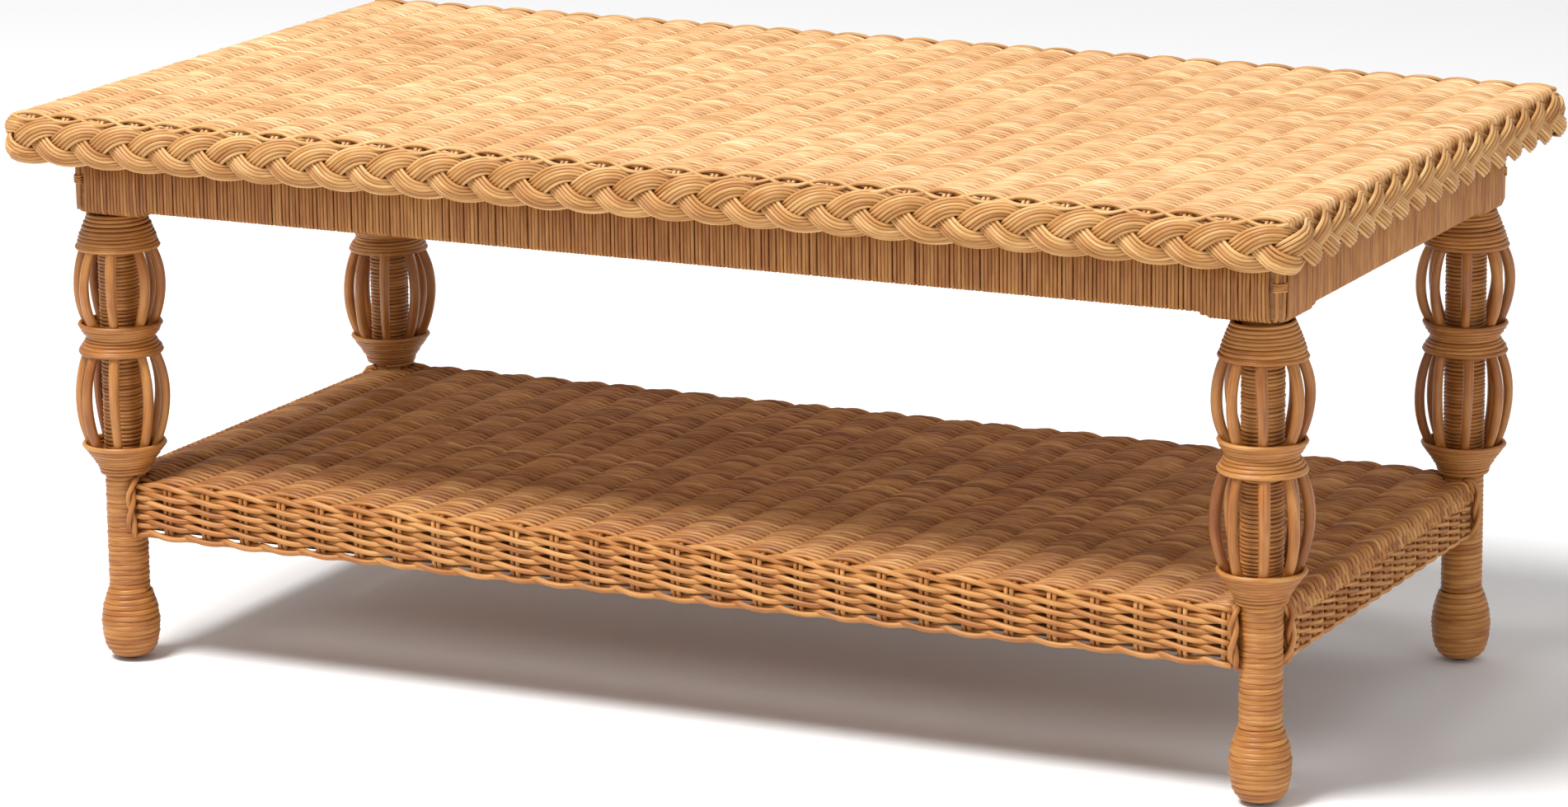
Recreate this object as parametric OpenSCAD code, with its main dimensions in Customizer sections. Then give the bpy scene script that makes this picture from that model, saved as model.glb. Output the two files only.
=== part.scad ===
// Wicker coffee table: a woven top with a plaited edge on a reed-wound apron, four legs that
// carry reed cups and cages of bent ribs, and a low woven shelf between the legs.
// Millimetres, +Z up. The origin is the centre of the footprint, on the floor.
// +X runs along the table's length to its right end, and the front is at -Y.

/* [Overall] */
// Length over the plaited edge
table_l = 1080; // [900:10:1400]
// Width over the plaited edge
table_w = 584; // [480:4:800]
// Height from the floor to the woven top
table_h = 450; // [400:5:600]

/* [Top] */
// Thickness of the woven top
mat_t = 10; // [4:0.5:14]
// How far the plait stands out from the top's frame
plait_t = 16; // [10:1:24]
// Height of the plait
plait_h = 38.5; // [30:0.5:50]
// How far the plait's upper edge lies below the woven top
plait_drop = 3; // [0:0.5:8]
// Width of the battens that make the top's frame
batten_w = 56; // [50:1:70]
// Thickness of the battens
batten_t = 28; // [24:1:40]
// Width of the two bearers under the woven top
bearer_w = 30; // [18:1:50]
// Thickness of the two bearers under the woven top
bearer_t = 24; // [14:1:24]
// Distance of each bearer's middle from the table's middle
bearer_y = 92; // [40:1:120]

/* [Apron] */
// Height of the wound apron
apron_h = 46; // [34:1:70]
// How far the apron's face lies outside the leg's axis
apron_out = 25; // [22:1:32]
// Thickness of the wooden rail inside the winding
rail_t = 18; // [12:1:22]
// Thickness of the reed wound round the apron
wind_t = 3; // [2:0.5:4]
// How far a corner block reaches from the leg's axis along the apron
corner_in = 40; // [32:1:60]
// How far the corner's winding hangs below the apron
corner_drop = 4; // [1:0.5:8]

/* [Legs] */
// Distance of a leg's axis from the table's end
leg_inset_x = 59; // [50:1:120]
// Distance of a leg's axis from the table's side
leg_inset_y = 81; // [76:1:120]
// Diameter of the bare pole
pole_d = 28; // [22:0.5:36]
// Thickness of the reed wound round the pole
pole_wind_t = 2.2; // [1.5:0.1:4]
// Greatest diameter of the foot
foot_d = 47.2; // [42:0.2:60]
// Height at which the foot is widest
foot_wide_z = 33; // [24:1:44]
// Height at which the foot meets the leg
foot_top_z = 57; // [50:1:80]
// Height of the pole's lower end, inside the foot
pole_z = 8; // [6:0.5:14]

/* [Cups and cages] */
// Height of the cup above the shelf
cup_h = 26; // [20:1:36]
// Diameter of the cup where it starts
cup_base_d = 39; // [36:1:48]
// Height of the double cup between the two cages
waist_h = 23; // [20:1:34]
// Diameter of the double cup's waist
waist_d = 53; // [48:1:60]
// Height of the collar under the apron
collar_h = 29; // [20:1:40]
// Diameter of the collar at its upper end
collar_top_d = 47; // [42:1:56]
// Depth of the hollow that takes the ribs' ends
hollow_h = 6; // [4:0.5:9]
// Thickness of a cup's wall at its rim
rim_t = 1.3; // [1:0.1:2.5]
// Share of the cages' height that the lower cage takes
lower_share = 0.55; // [0.4:0.05:0.65]
// Number of ribs in a cage
rib_count = 8; // [6:1:10]
// Diameter of a rib
rib_d = 8.4; // [5:0.1:9]
// Gap between the leg and the rib at the rib's ends
rib_gap = 4.8; // [3:0.1:8]
// How far a rib bows out from the line between its ends
rib_bow = 8.4; // [5:0.1:12]

/* [Shelf] */
// Height of the woven shelf above the floor
shelf_z = 150; // [130:1:180]
// Height of the shelf's woven side
side_h = 46; // [40:1:60]
// Thickness of the shelf's woven side
side_t = 10; // [4:0.5:10]
// Thickness of the woven shelf
shelf_t = 10; // [4:0.5:12]
// Thickness of the shelf's wooden rails
shelf_rail_t = 16; // [14:1:20]
// Width of the shelf's bearers
shelf_bearer_w = 24; // [14:1:40]
// Thickness of the shelf's bearers
shelf_bearer_t = 20; // [12:1:26]
// Distance of each shelf bearer's middle from the table's middle
shelf_bearer_y = 70; // [40:1:100]
// Width of a lashing of reed at a rail's end
lash_w = 6; // [4:0.5:10]
// Thickness of a lashing
lash_t = 4; // [2:0.5:4]

/* [Fixings] */
// Diameter of a dowel between the shelf's rail and the leg
dowel_d = 8; // [6:0.5:10]
// Length of a dowel
dowel_l = 50; // [40:1:80]
// How far a dowel reaches past the leg's axis
dowel_past = 6; // [2:0.5:8]
// Diameter of a screw's shank
screw_d = 5; // [4:0.5:6]
// Length of a screw
screw_l = 70; // [55:5:90]
// Diameter of a screw's head
screw_head_d = 9; // [8:0.5:12]
// Height of a screw's head
screw_head_h = 3; // [2:0.5:4]
// Diameter of a floor glide
glide_d = 16; // [12:1:20]
// Height of a floor glide
glide_h = 3; // [2:0.5:5]
// Diameter of a glide's nail
glide_nail_d = 3; // [2:0.5:4]
// Length of a glide's nail
glide_nail_l = 20; // [14:1:30]

/* [Hidden] */
$fn = 64;
LEGS = [["front_left", -1, -1], ["front_right", 1, -1], ["back_left", -1, 1], ["back_right", 1, 1]];
LEG_PARTS = ["pole", "foot", "lower_cup", "lower_ribs", "waist_cup", "upper_ribs", "collar"];
SIDES = [["front", 180], ["back", 0], ["left", 90], ["right", -90]];
SIDE_PARTS = ["plait", "top_batten", "apron_rail", "shelf_rail", "shelf_side"];

// Heights, from the top down
mat_z = table_h - mat_t;
frame_z = mat_z - batten_t;
apron_z = frame_z - apron_h;
corner_z = apron_z - corner_drop;
shelf_mat_z = shelf_z - shelf_t;
side_z = shelf_z - side_h;
shelf_rail_z = side_z + lash_t;

// Half sizes in plan
frame_x = table_l / 2 - plait_t;
frame_y = table_w / 2 - plait_t;
leg_x = table_l / 2 - leg_inset_x;
leg_y = table_w / 2 - leg_inset_y;
apron_x = leg_x + apron_out;
apron_y = leg_y + apron_out;
leg_r = pole_d / 2 + pole_wind_t;
shelf_x = leg_x + leg_r;
shelf_y = leg_y + leg_r;

// The leg's cages: z of the hollows' floors, where the ribs' flat ends sit
cup_rim_z = shelf_z + cup_h;
collar_z = corner_z - collar_h;
cages_h = collar_z - cup_rim_z - waist_h;
waist_z = cup_rim_z + lower_share * cages_h + waist_h / 2;
lower_ends = [cup_rim_z - hollow_h, waist_z - waist_h / 2 + hollow_h];
upper_ends = [waist_z + waist_h / 2 - hollow_h, collar_z + hollow_h];

// A rib is an arc of a ring: its ends lie rib_end_r from the leg's axis
rib_r = rib_d / 2;
rib_end_r = leg_r + rib_gap + rib_r;
function arc_radius(ends) = (pow((ends[1] - ends[0]) / 2, 2) + pow(rib_bow, 2)) / (2 * rib_bow);
function arc_half(ends) = asin((ends[1] - ends[0]) / 2 / arc_radius(ends));
function arc_centre(ends) = rib_end_r + rib_bow - arc_radius(ends);
// Distance from the leg's axis to the outside of a rib, in_z above the rib's end
function rib_outside(ends, in_z) =
    let (radius = arc_radius(ends), half = (ends[1] - ends[0]) / 2 - in_z,
        across = sqrt(radius * radius - half * half))
    arc_centre(ends) + across + rib_r * radius / across;

// A cup's hollow clears the ribs by rib_clear, whichever cage is the wider there
rib_clear = 0.15;
floor_r = max(rib_outside(lower_ends, 0), rib_outside(upper_ends, 0)) + rib_clear;
rim_in_r = max(rib_outside(lower_ends, hollow_h), rib_outside(upper_ends, hollow_h)) + rib_clear;
rim_r = rim_in_r + rim_t;
shoulder_r = floor_r + rim_t;

// A dowel into a long rail lies lower than a dowel into a short rail, so that they miss each other
dowel_long_z = shelf_rail_z + (shelf_mat_z - shelf_rail_z) * 0.28;
dowel_short_z = shelf_rail_z + (shelf_mat_z - shelf_rail_z) * 0.72;

cane_colour = "burlywood";
leg_colour = "peru";
top_colour = "wheat";
wood_colour = "tan";

// ---- places ----

function is_long(side) = side[1] % 180 == 0;
function half_length(side, x, y) = is_long(side) ? x : y;
function face_at(side, x, y) = is_long(side) ? y : x;

// Puts a piece on one side of the table: drawn along X, with +Y outwards
module at_side(side) rotate([0, 0, side[1]]) children();

// Puts a piece on one leg: drawn with +X and +Y outwards
module at_leg(leg)
    translate([leg[1] * leg_x, leg[2] * leg_y, 0])
    mirror([leg[1] < 0 ? 1 : 0, 0, 0])
    mirror([0, leg[2] < 0 ? 1 : 0, 0])
    children();

// A bar along X, centred, whose outer face is at y = face
module bar(half, face, thick, z, high)
    translate([-half, face - thick, z]) cube([2 * half, thick, high]);

// ---- legs ----

// The two dowels of one leg, each across the leg's axis and into a shelf rail
module dowels() {
    rail_line = leg_r - side_t - shelf_rail_t / 2;
    translate([dowel_past, rail_line, dowel_long_z]) rotate([0, -90, 0]) cylinder(d = dowel_d, h = dowel_l);
    translate([rail_line, dowel_past, dowel_short_z]) rotate([90, 0, 0]) cylinder(d = dowel_d, h = dowel_l);
}

module pole() {
    nail_top = glide_h + glide_nail_l;
    color(leg_colour) difference() {
        translate([0, 0, pole_z]) cylinder(d = pole_d, h = frame_z - pole_z);
        dowels();
        translate([0, 0, mat_z - screw_l]) cylinder(d = screw_d, h = screw_l);
        cylinder(d = glide_nail_d, h = nail_top);
    }
}

// The foot swells in a rounded curve up to its widest height, and draws in to the leg above it
module foot() {
    steps = 8;
    low = [for (i = [0 : steps]) let (u = cos(90 * i / steps))
        [foot_d / 2 * pow(1 - pow(u, 3), 1 / 3), foot_wide_z - u * (foot_wide_z - glide_h)]];
    high = [for (i = [1 : steps]) let (v = i / steps)
        [foot_d / 2 - (foot_d / 2 - leg_r) * v * v, foot_wide_z + v * (foot_top_z - foot_wide_z)]];
    color(leg_colour) difference() {
        rotate_extrude() polygon(concat(low, high, [[0, foot_top_z]]));
        translate([0, 0, pole_z]) cylinder(d = pole_d, h = foot_top_z);
        cylinder(d = glide_nail_d, h = foot_top_z);
    }
}

module lower_cup() {
    color(leg_colour) translate([0, 0, shelf_z]) rotate_extrude() polygon([
        [leg_r, 0], [cup_base_d / 2, 0], [shoulder_r, cup_h - hollow_h], [rim_r, cup_h],
        [rim_in_r, cup_h], [floor_r, cup_h - hollow_h], [leg_r, cup_h - hollow_h]]);
}

module waist_cup() {
    half = waist_h / 2;
    in = half - hollow_h;
    color(leg_colour) translate([0, 0, waist_z]) rotate_extrude() polygon([
        [leg_r, -in], [floor_r, -in], [rim_in_r, -half], [rim_r, -half], [shoulder_r, -in], [waist_d / 2, 0],
        [shoulder_r, in], [rim_r, half], [rim_in_r, half], [floor_r, in], [leg_r, in]]);
}

module collar() {
    color(leg_colour) translate([0, 0, collar_z]) rotate_extrude() polygon([
        [leg_r, hollow_h], [floor_r, hollow_h], [rim_in_r, 0], [rim_r, 0], [rim_r, hollow_h],
        [collar_top_d / 2, collar_h], [leg_r, collar_h]]);
}

// A cage: bent ribs evenly round the leg, cut flat at both ends
module ribs(ends) {
    radius = arc_radius(ends);
    half = arc_half(ends) + asin(rib_d / radius);
    reach = rim_r + rib_bow + rib_d;
    color(cane_colour)
    for (i = [0 : rib_count - 1]) rotate([0, 0, (i + 0.5) * 360 / rib_count])
    intersection() {
        translate([arc_centre(ends), 0, (ends[0] + ends[1]) / 2])
            rotate([90, 0, 0]) rotate([0, 0, -half])
            rotate_extrude(angle = 2 * half) translate([radius, 0]) circle(d = rib_d);
        translate([0, -rib_d, ends[0]]) cube([reach, 2 * rib_d, ends[1] - ends[0]]);
    }
}

// Reed wound round the pole, from the foot to the apron
module pole_windings() {
    color(leg_colour) for (leg = LEGS) at_leg(leg) difference() {
        translate([0, 0, foot_top_z]) cylinder(r = leg_r, h = corner_z - foot_top_z);
        cylinder(d = pole_d, h = table_h);
        dowels();
    }
}

module floor_glides() {
    color("dimgray") for (leg = LEGS) at_leg(leg) {
        rotate_extrude() polygon([[0, 0], [glide_d * 0.3, 0], [glide_d / 2, glide_h * 0.6],
            [glide_d / 2, glide_h], [0, glide_h]]);
        cylinder(d = glide_nail_d, h = glide_h + glide_nail_l);
    }
}

// ---- apron ----

// The block that ties two apron rails to the pole
module corner_blocks() {
    size = corner_in + apron_out - wind_t;
    color(wood_colour) for (leg = LEGS) at_leg(leg) difference() {
        translate([-corner_in, -corner_in, corner_z + wind_t])
            cube([size, size, frame_z - corner_z - wind_t]);
        cylinder(d = pole_d, h = table_h);
    }
}

module corner_windings() {
    size = corner_in + apron_out;
    color(cane_colour) for (leg = LEGS) at_leg(leg) difference() {
        translate([-corner_in, -corner_in, corner_z]) cube([size, size, frame_z - corner_z]);
        translate([-corner_in - 1, -corner_in - 1, corner_z + wind_t])
            cube([size - wind_t + 1, size - wind_t + 1, table_h]);
        cylinder(d = pole_d, h = table_h);
    }
}

module apron_rail(side) {
    half = half_length(side, leg_x, leg_y) - corner_in;
    face = face_at(side, apron_x, apron_y) - wind_t;
    color(wood_colour) bar(half, face, rail_t, apron_z + wind_t, apron_h - 2 * wind_t);
}

module apron_windings() {
    color(cane_colour) for (side = SIDES) at_side(side) difference() {
        half = half_length(side, leg_x, leg_y) - corner_in;
        face = face_at(side, apron_x, apron_y);
        bar(half, face, rail_t + 2 * wind_t, apron_z, apron_h);
        bar(half + 1, face - wind_t, rail_t, apron_z + wind_t, apron_h - 2 * wind_t);
    }
}

// ---- top ----

module top_screw_holes() for (leg = LEGS) at_leg(leg) {
    translate([0, 0, mat_z - screw_l]) cylinder(d = screw_d, h = screw_l);
    translate([0, 0, mat_z - screw_head_h]) cylinder(d = screw_head_d, h = screw_head_h + 1);
}

// The short battens run the full width, over the poles, and the long ones lie between them
module top_batten(side) {
    half = is_long(side) ? frame_x - batten_w : frame_y;
    color(wood_colour) difference() {
        at_side(side) bar(half, face_at(side, frame_x, frame_y), batten_w, frame_z, batten_t);
        top_screw_holes();
    }
}

module top_bearers() {
    half = frame_x - batten_w;
    color(wood_colour) for (y = [-bearer_y, bearer_y])
        bar(half, y + bearer_w / 2, bearer_w, mat_z - bearer_t, bearer_t);
}

module top_mat() {
    color(top_colour) translate([-frame_x, -frame_y, mat_z]) cube([2 * frame_x, 2 * frame_y, mat_t]);
}

module frame_screws() {
    color("silver") for (leg = LEGS) at_leg(leg) {
        translate([0, 0, mat_z - screw_l]) cylinder(d = screw_d, h = screw_l);
        translate([0, 0, mat_z - screw_head_h]) cylinder(d = screw_head_d, h = screw_head_h);
    }
}

// Outline across the plait, a swelling curve against the frame's upright face
module plait_outline() {
    steps = 8;
    polygon([for (i = [0 : steps]) let (a = -90 + 180 * i / steps)
        [plait_t * pow(abs(cos(a)), 0.7), plait_h / 2 * (1 + sin(a))]]);
}

// One side of the plaited edge, with half of each rounded corner
module plait(side) {
    half = half_length(side, frame_x, frame_y);
    face = face_at(side, frame_x, frame_y);
    color(cane_colour) at_side(side) translate([0, face, mat_z + mat_t - plait_drop - plait_h]) {
        rotate([90, 0, 90]) linear_extrude(height = 2 * half, center = true) plait_outline();
        translate([half, 0, 0]) rotate([0, 0, 45]) rotate_extrude(angle = 45) plait_outline();
        translate([-half, 0, 0]) rotate([0, 0, 90]) rotate_extrude(angle = 45) plait_outline();
    }
}

// ---- shelf ----

// The round legs, as the shelf's pieces meet them
module leg_columns() for (leg = LEGS) at_leg(leg) cylinder(r = leg_r, h = table_h);

// The long rails run to the legs' axes, and the short ones no further than the long ones' inner faces
module shelf_rail(side) {
    half = is_long(side) ? leg_x : shelf_y - side_t - shelf_rail_t;
    color(wood_colour) difference() {
        at_side(side) bar(half, face_at(side, shelf_x, shelf_y) - side_t, shelf_rail_t,
            shelf_rail_z, shelf_mat_z - shelf_rail_z);
        leg_columns();
        for (leg = LEGS) at_leg(leg) dowels();
    }
}

module shelf_side(side) {
    half = half_length(side, leg_x, leg_y) - leg_r - lash_w;
    color(cane_colour) bar(half, face_at(side, shelf_x, shelf_y), side_t, side_z, side_h);
}

module shelf_mat() {
    x = shelf_x - side_t;
    y = shelf_y - side_t;
    color(top_colour) difference() {
        translate([-x, -y, shelf_mat_z]) cube([2 * x, 2 * y, shelf_t]);
        leg_columns();
    }
}

module shelf_bearers() {
    half = shelf_x - side_t - shelf_rail_t;
    color(wood_colour) for (y = [-shelf_bearer_y, shelf_bearer_y])
        bar(half, y + shelf_bearer_w / 2, shelf_bearer_w, shelf_mat_z - shelf_bearer_t, shelf_bearer_t);
}

// Reed lashed round a rail's end: down the face, under the rail and up behind it
module shelf_lashings() {
    color(cane_colour) for (side = SIDES) at_side(side) for (end = [-1, 1]) {
        half = half_length(side, leg_x, leg_y) - leg_r - lash_w / 2;
        face = face_at(side, shelf_x, shelf_y);
        deep = side_t + shelf_rail_t + lash_t;
        translate([end * half, 0, 0]) {
            bar(lash_w / 2, face, side_t, side_z, side_h);
            bar(lash_w / 2, face, deep, side_z, lash_t);
            bar(lash_w / 2, face - side_t - shelf_rail_t, lash_t, side_z, shelf_mat_z - side_z);
        }
    }
}

module shelf_dowels() {
    color(wood_colour) for (leg = LEGS) at_leg(leg) dowels();
}

for (leg = LEGS) {
    at_leg(leg) pole();
    at_leg(leg) foot();
    at_leg(leg) lower_cup();
    at_leg(leg) ribs(lower_ends);
    at_leg(leg) waist_cup();
    at_leg(leg) ribs(upper_ends);
    at_leg(leg) collar();
}
for (side = SIDES) {
    plait(side);
    top_batten(side);
    at_side(side) apron_rail(side);
    shelf_rail(side);
    at_side(side) shelf_side(side);
}
pole_windings();
corner_blocks();
corner_windings();
apron_windings();
top_mat();
top_bearers();
shelf_mat();
shelf_bearers();
shelf_lashings();
shelf_dowels();
frame_screws();
floor_glides();
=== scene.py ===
# %% [markdown]
# # A wicker coffee table
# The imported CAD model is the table's frame: poles, battens, rails, bearers and fixings.
# Everything a weaver adds to it is made here, reed by reed: the woven top, its plaited edge,
# the wound apron and legs, the cups and ribs, and the woven shelf.
# Lengths are in metres, and every piece is made at its own place in the same frame.

# %% Load the frame
import math

import bpy
import numpy as np
from mathutils import Matrix, Vector


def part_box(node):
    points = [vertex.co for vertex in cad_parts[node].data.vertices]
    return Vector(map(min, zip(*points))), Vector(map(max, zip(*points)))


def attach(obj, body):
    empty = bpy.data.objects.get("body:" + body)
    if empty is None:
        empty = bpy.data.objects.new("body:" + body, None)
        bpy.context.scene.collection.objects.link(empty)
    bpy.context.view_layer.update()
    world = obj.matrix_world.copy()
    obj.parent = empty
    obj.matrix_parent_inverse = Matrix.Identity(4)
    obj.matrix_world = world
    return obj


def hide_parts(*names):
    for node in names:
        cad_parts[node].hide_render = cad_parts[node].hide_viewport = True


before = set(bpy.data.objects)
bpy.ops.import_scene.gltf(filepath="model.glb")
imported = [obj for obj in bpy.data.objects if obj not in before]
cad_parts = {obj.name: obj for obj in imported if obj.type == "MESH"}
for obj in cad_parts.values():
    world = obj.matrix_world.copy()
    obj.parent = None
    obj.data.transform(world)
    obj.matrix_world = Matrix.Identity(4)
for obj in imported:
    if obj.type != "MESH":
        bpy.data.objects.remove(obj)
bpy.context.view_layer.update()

# %% [markdown]
# ## The room
# A table this low is best seen from a little above, with a long lens, so that its sides stay
# nearly parallel. The floor is pale and plain. A wide soft light hangs above and in front:
# it brightens the woven top, and the top keeps the light off most of the shelf.

# %% Camera
turn = math.radians(26.294)
rise = math.radians(13.364)
roll = math.radians(-0.613)
away = Vector((math.sin(turn) * math.cos(rise), -math.cos(turn) * math.cos(rise), math.sin(rise)))
level = Vector((math.cos(turn), math.sin(turn), 0))
upright = away.cross(level)
across = math.cos(roll) * level + math.sin(roll) * upright
upward = -math.sin(roll) * level + math.cos(roll) * upright
eye = Vector((-0.009281, 0, 0.205536)) + 4.82239 * away + 0.0032 * across

bpy.ops.object.select_all(action="DESELECT")
bpy.ops.object.camera_add()
camera = bpy.context.object
camera.matrix_world = Matrix.Translation(eye) @ Matrix((across, upward, away)).transposed().to_4x4()
camera.data.sensor_width = 36
camera.data.lens = 141.32
bpy.context.scene.camera = camera
print("camera stands", round(eye.length, 2), "m from the table's middle")

# %% [markdown]
# One lamp does most of the work. It hangs high and a little to the left, so the top is the
# brightest surface and the shelf lies in its shade. A weak low lamp and a white world keep
# the shade warm and open. The floor is one large plane, which is all a studio floor is.

# %% Floor, light and colour
bpy.ops.object.select_all(action="DESELECT")
bpy.ops.mesh.primitive_plane_add(size=30)
floor = bpy.context.object
floor.name = "floor"
paint = bpy.data.materials.new("pale_floor")
paint.use_nodes = True
paint.node_tree.nodes["Principled BSDF"].inputs["Base Color"].default_value = (0.93, 0.93, 0.93, 1)
paint.node_tree.nodes["Principled BSDF"].inputs["Roughness"].default_value = 0.9
floor.data.materials.append(paint)


def hang_light(name, place, aim, size, power):
    bpy.ops.object.light_add(type="AREA", location=place)
    lamp = bpy.context.object
    lamp.name = name
    lamp.rotation_euler = (Vector(aim) - Vector(place)).to_track_quat("-Z", "Y").to_euler()
    lamp.data.shape = "DISK"
    lamp.data.size = size
    lamp.data.energy = power


hang_light("key", (-1.3, -2.6, 5.3), (0, 0, 0.3), 2.1, 400)
hang_light("fill", (3.4, -1.6, 0.7), (0, 0, 0.3), 1.2, 16)
world = bpy.data.worlds.new("studio")
world.use_nodes = True
world.node_tree.nodes["Background"].inputs["Color"].default_value = (1, 1, 1, 1)
world.node_tree.nodes["Background"].inputs["Strength"].default_value = 0.55
bpy.context.scene.world = world
bpy.context.scene.view_settings.view_transform = "Standard"

# %% [markdown]
# ## Finishes
# Reed is the inner core of rattan: no two lengths have the same colour, and fine fibres run
# along each. So every reed carries two attributes. "tone" is a number from 0 to 1, its own
# shade. "fibre" is a place along and around the reed, so that streaks follow it round every
# bend, which a pattern in space could not do.

# %% Reed finish
def shade(red, green, blue):
    """A colour as it looks on a screen, 0 to 255, as the linear colour a shader wants."""
    return [((c / 255 + 0.055) / 1.055) ** 2.4 for c in (red, green, blue)] + [1]


def add_node(tree, kind, **inputs):
    node = tree.nodes.new("ShaderNode" + kind)
    for key, value in inputs.items():
        node.inputs[key.replace("_", " ")].default_value = value
    return node


def ramp(tree, factor, stops):
    node = tree.nodes.new("ShaderNodeValToRGB")
    elements = node.color_ramp.elements
    while len(elements) < len(stops):
        elements.new(0.5)
    for element, (place, colour) in zip(elements, stops):
        element.position = place
        element.color = colour
    tree.links.new(factor, node.inputs["Fac"])
    return node.outputs["Color"]


def multiply(tree, first, second):
    node = tree.nodes.new("ShaderNodeMix")
    node.data_type = "RGBA"
    node.blend_type = "MULTIPLY"
    node.inputs["Factor"].default_value = 1.0
    tree.links.new(first, node.inputs[6])
    tree.links.new(second, node.inputs[7])
    return node.outputs[2]


def grey(value):
    return [value, value, value, 1]


def stretched_noise(tree, source, stretch, scale, detail=3):
    mapping = add_node(tree, "Mapping", Scale=stretch)
    noise = add_node(tree, "TexNoise", Scale=scale, Detail=detail, Roughness=0.6)
    tree.links.new(source, mapping.inputs["Vector"])
    tree.links.new(mapping.outputs["Vector"], noise.inputs["Vector"])
    return noise.outputs["Fac"]


def finish_surface(tree, colour, grain, smooth, rough, relief):
    shader = tree.nodes["Principled BSDF"]
    tree.links.new(colour, shader.inputs["Base Color"])
    gloss = ramp(tree, grain, [(0.3, grey(smooth)), (0.7, grey(rough))])
    tree.links.new(gloss, shader.inputs["Roughness"])
    bump = add_node(tree, "Bump", Strength=0.6, Distance=relief)
    tree.links.new(grain, bump.inputs["Height"])
    tree.links.new(bump.outputs["Normal"], shader.inputs["Normal"])

# %% [markdown]
# A reed's colour comes in layers. Its tone picks a place between a deep and a pale shade. Then
# fine streaks along the fibres, blotches some centimetres long and broad stains from years of
# handling each darken it a little. The streaks also set the gloss and a very slight relief.

# %% The layers of a reed
def reed_finish(name, deep, body, pale, smooth=0.4, rough=0.6):
    material = bpy.data.materials.new(name)
    material.use_nodes = True
    tree = material.node_tree
    tone = tree.nodes.new("ShaderNodeAttribute")
    tone.attribute_name = "tone"
    fibre = tree.nodes.new("ShaderNodeAttribute")
    fibre.attribute_name = "fibre"
    place = tree.nodes.new("ShaderNodeTexCoord")
    colour = ramp(tree, tone.outputs["Fac"], [(0, deep), (0.45, body), (1, pale)])
    streaks = stretched_noise(tree, fibre.outputs["Vector"], (40, 1400, 1400), 1)
    blotches = stretched_noise(tree, fibre.outputs["Vector"], (25, 60, 60), 1, 2)
    handling = stretched_noise(tree, place.outputs["Object"], (1, 1, 1), 7, 2)
    colour = multiply(tree, colour, ramp(tree, streaks, [(0.3, shade(214, 196, 176)), (0.6, grey(1))]))
    colour = multiply(tree, colour, ramp(tree, blotches, [(0.35, shade(226, 205, 180)), (0.6, grey(1))]))
    colour = multiply(tree, colour, ramp(tree, handling, [(0.3, shade(240, 228, 214)), (0.65, grey(1))]))
    finish_surface(tree, colour, streaks, smooth, rough, 0.0002)
    return material

# %% [markdown]
# The top is bleached the palest. The plait, the apron, the legs and the shelf are darker, and
# the ribs are cane with its skin still on, so they are the glossiest.

# %% Shades of reed
honey = reed_finish("honey_reed", shade(226, 183, 128), shade(236, 197, 144), shade(245, 212, 164))
plait_amber = reed_finish("amber_reed", shade(196, 146, 84), shade(216, 170, 106), shade(234, 194, 134))
apron_tan = reed_finish("tan_reed", shade(164, 108, 50), shade(188, 132, 66), shade(208, 156, 88))
leg_brown = reed_finish("brown_reed", shade(166, 108, 50), shade(194, 136, 68), shade(214, 160, 92),
                        0.34, 0.52)
shelf_brown = reed_finish("shelf_reed", shade(174, 116, 54), shade(202, 144, 76), shade(222, 170, 104))
cane_gold = reed_finish("rib_cane", shade(156, 98, 44), shade(188, 128, 62), shade(212, 156, 88), 0.3, 0.45)

# %% [markdown]
# The frame is plain wood, with its grain along each bar. It is hidden from most sides, but
# shows under the top and under the shelf. Its colour is darker than the wood's own: part of
# that is painted shade, so the rails and blocks seen through gaps in the weave look dark. The
# screws are bright steel, and the glides are dark moulded plastic with a fine texture.

# %% Wood, steel and plastic finishes
def solid_finish(name, dark, light, stretch, scale, smooth, rough, relief):
    material = bpy.data.materials.new(name)
    material.use_nodes = True
    tree = material.node_tree
    place = tree.nodes.new("ShaderNodeTexCoord")
    grain = stretched_noise(tree, place.outputs["Object"], stretch, scale, 4)
    wear = stretched_noise(tree, place.outputs["Object"], (1, 1, 1), 11, 2)
    colour = ramp(tree, grain, [(0.3, dark), (0.7, light)])
    colour = multiply(tree, colour, ramp(tree, wear, [(0.3, grey(0.78)), (0.65, grey(1))]))
    finish_surface(tree, colour, grain, smooth, rough, relief)
    return material


# The wood's two colours are its own brown made darker, partly as painted shade for the gaps behind the
# weave.
WOOD_AND_PAINTED_SHADE = (shade(120, 80, 42), shade(176, 130, 80))
wood_and_shade_along_x = solid_finish("wood_and_shade_along_x", *WOOD_AND_PAINTED_SHADE, (1.5, 40, 40), 4, 0.5, 0.7, 0.0004)
wood_and_shade_along_y = solid_finish("wood_and_shade_along_y", *WOOD_AND_PAINTED_SHADE, (40, 1.5, 40), 4, 0.5, 0.7, 0.0004)
CANE = (shade(150, 104, 60), shade(204, 158, 106))
pole_cane = solid_finish("pole_cane", *CANE, (40, 40, 1.5), 4, 0.4, 0.6, 0.0004)
steel = solid_finish("screw_steel", grey(0.42), grey(0.6), (1, 1, 30), 20, 0.25, 0.45, 0.0001)
steel.node_tree.nodes["Principled BSDF"].inputs["Metallic"].default_value = 1.0
plastic = solid_finish("glide_plastic", grey(0.02), grey(0.045), (1, 1, 1), 900, 0.45, 0.6, 0.0002)

# %% [markdown]
# The frame's pieces are modelled already, so they only need their finish. A pattern in
# space is enough for straight wood, but its grain has to run along the bar, so bars along
# the table and bars across it have a finish each.

# %% Dress the wooden frame
def paint_nodes(material, words):
    count = 0
    for name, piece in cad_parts.items():
        if any(word in name for word in words):
            piece.data.materials.clear()
            piece.data.materials.append(material)
            count += 1
    print(material.name, "is on", count, "pieces of the frame")


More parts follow.
